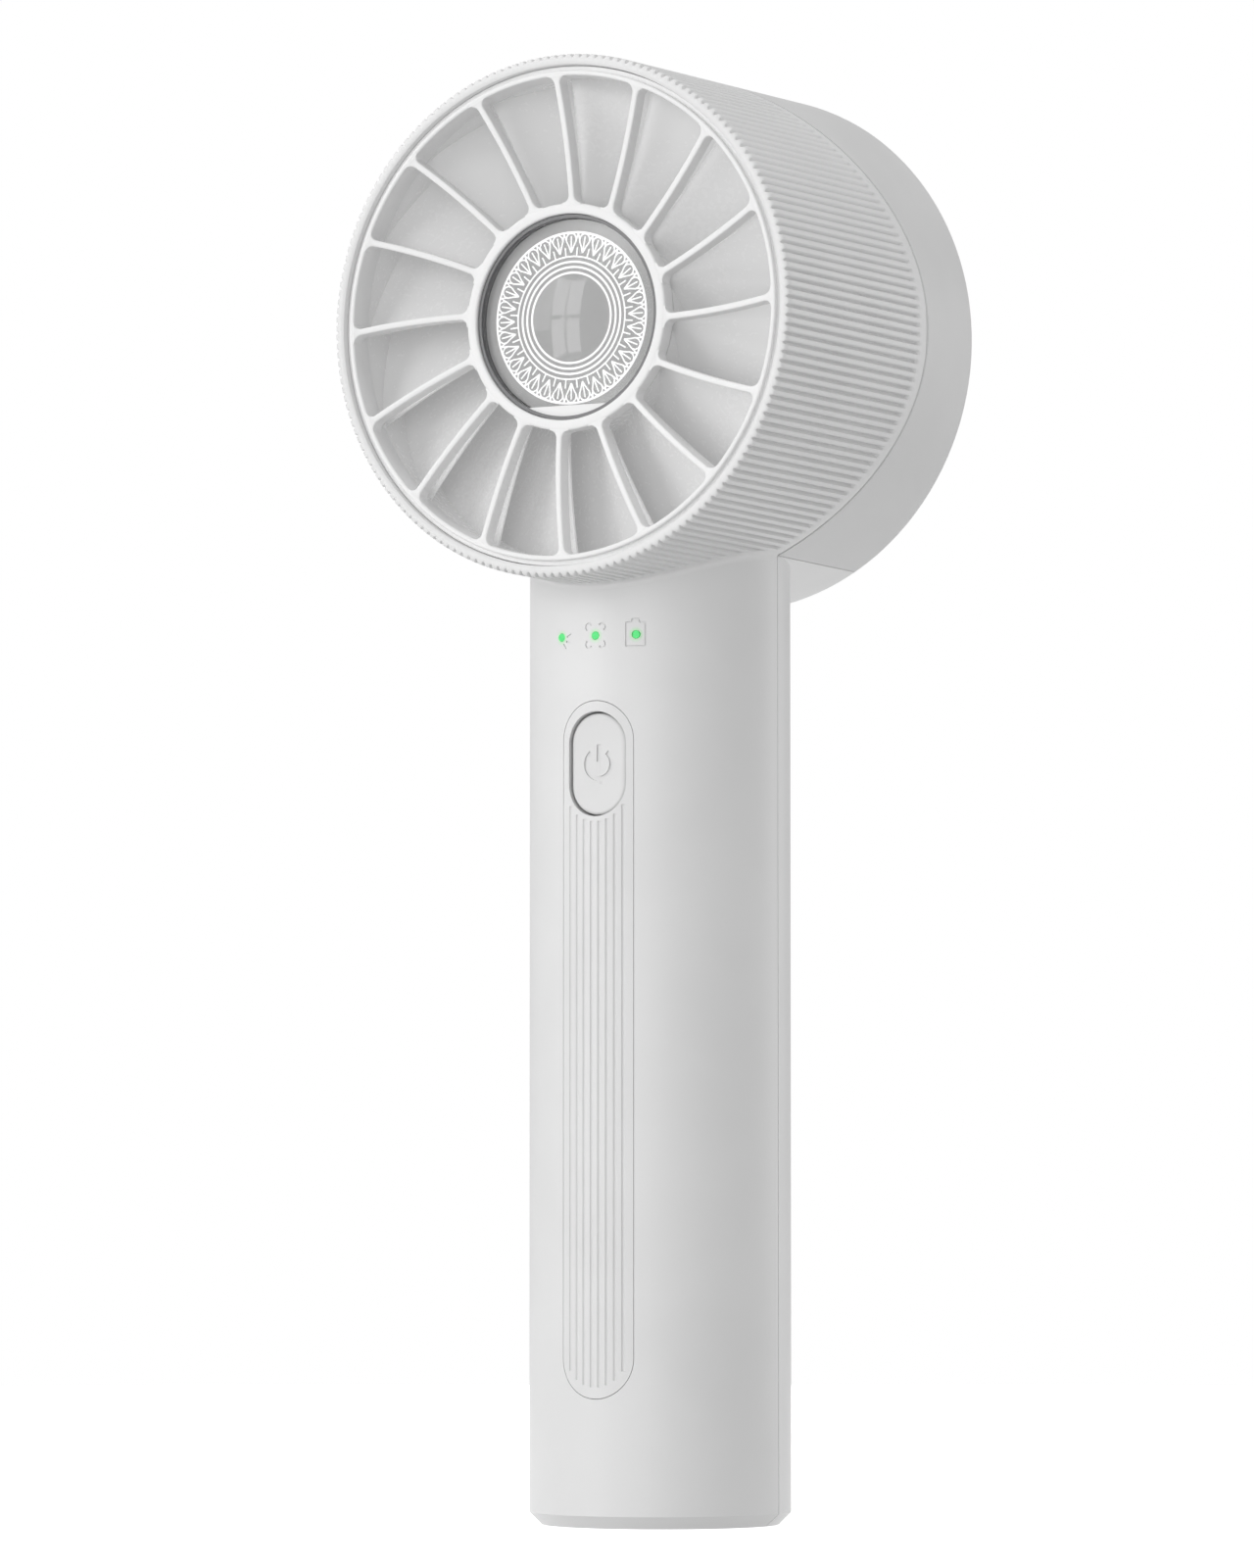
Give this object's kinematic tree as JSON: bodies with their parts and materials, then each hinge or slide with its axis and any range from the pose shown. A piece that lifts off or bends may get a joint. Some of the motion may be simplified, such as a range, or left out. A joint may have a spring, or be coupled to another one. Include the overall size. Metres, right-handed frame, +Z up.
{
  "type": "handheld fan",
  "caption": "Rechargeable handheld fan: ribbed ducted fan head with a spoked front grille on a straight cylindrical handle with a thumb button and indicator lights.",
  "frame": {"origin": "centre of the handle's flat base, on the surface the fan stands on", "axes": "+Z up the handle; the fan axis is parallel to Y and the air leaves towards -Y, the side that the thumb button and the front grille face; +X to the right seen from that side"},
  "size_m": [0.081, 0.0592, 0.2225],
  "materials": {
    "shell_white": "fine spark-eroded satin white moulding",
    "grille_white": "smooth white moulding",
    "blade_grey": "glossy pale grey moulding",
    "hub_grey": "glossy mid grey cup",
    "ornament_print": "grey disc with a printed white geometric rosette",
    "clear_lens": "clear polished lens",
    "button_white": "satin white button with an engraved power sign",
    "indicator_green": "green lit light guide",
    "led_chip": "moulded light-emitting diode",
    "bright_steel": "ground steel",
    "spring_steel": "nickel-plated spring steel",
    "screw_steel": "zinc-plated screw",
    "magnet": "sintered magnet",
    "brass": "turned brass",
    "lamination": "stacked laminations",
    "winding": "enamelled copper wire",
    "circuit_board": "solder mask on laminate",
    "lead_sleeve": "silicone sleeve",
    "black_plastic": "black moulding",
    "cell_wrap": "shrink sleeve"
  },
  "bodies": {
    "housing": {"front_housing": "shell_white", "handle_back_shell": "shell_white", "rear_cover": "shell_white", "intake_grille": "grille_white", "front_grille": "grille_white", "guide_vanes": "blade_grey", "hub_cup": "hub_grey", "ornament_disc": "ornament_print", "ornament_lens": "clear_lens", "bearing_tube": "brass", "front_bearing": "bright_steel", "rear_bearing": "bright_steel", "stator_core": "lamination", "motor_windings": "winding", "motor_board": "circuit_board", "motor_screws": "screw_steel", "motor_leads": "lead_sleeve", "grip_inlay": "shell_white", "switch_body": "spring_steel", "control_board": "circuit_board", "board_screws": "screw_steel", "indicator_lenses": "indicator_green", "indicator_leds": "led_chip", "battery_cell": "cell_wrap", "battery_cradle": "black_plastic", "battery_contacts": "spring_steel", "battery_leads": "lead_sleeve", "charge_board": "circuit_board", "usb_shell": "bright_steel", "usb_tongue": "black_plastic", "housing_screws": "screw_steel"},
    "rotor": {"impeller": "blade_grey", "rotor_can": "bright_steel", "magnet_ring": "magnet", "motor_shaft": "bright_steel", "shaft_clip": "spring_steel"},
    "button": {"power_button": "button_white", "switch_plunger": "black_plastic"}
  },
  "joints": [
    {"name": "impeller_spin", "type": "hinge", "parent": "housing", "child": "rotor", "pos_m": [0, 0, 0.182], "axis": [0, 1, 0], "continuous": true},
    {"name": "power_button_press", "type": "slide", "parent": "housing", "child": "button", "axis": [0, 1, 0], "range_m": [0, 0.0006], "stiffness_N_per_m": 1500, "springref_m": -0.0004}
  ]
}
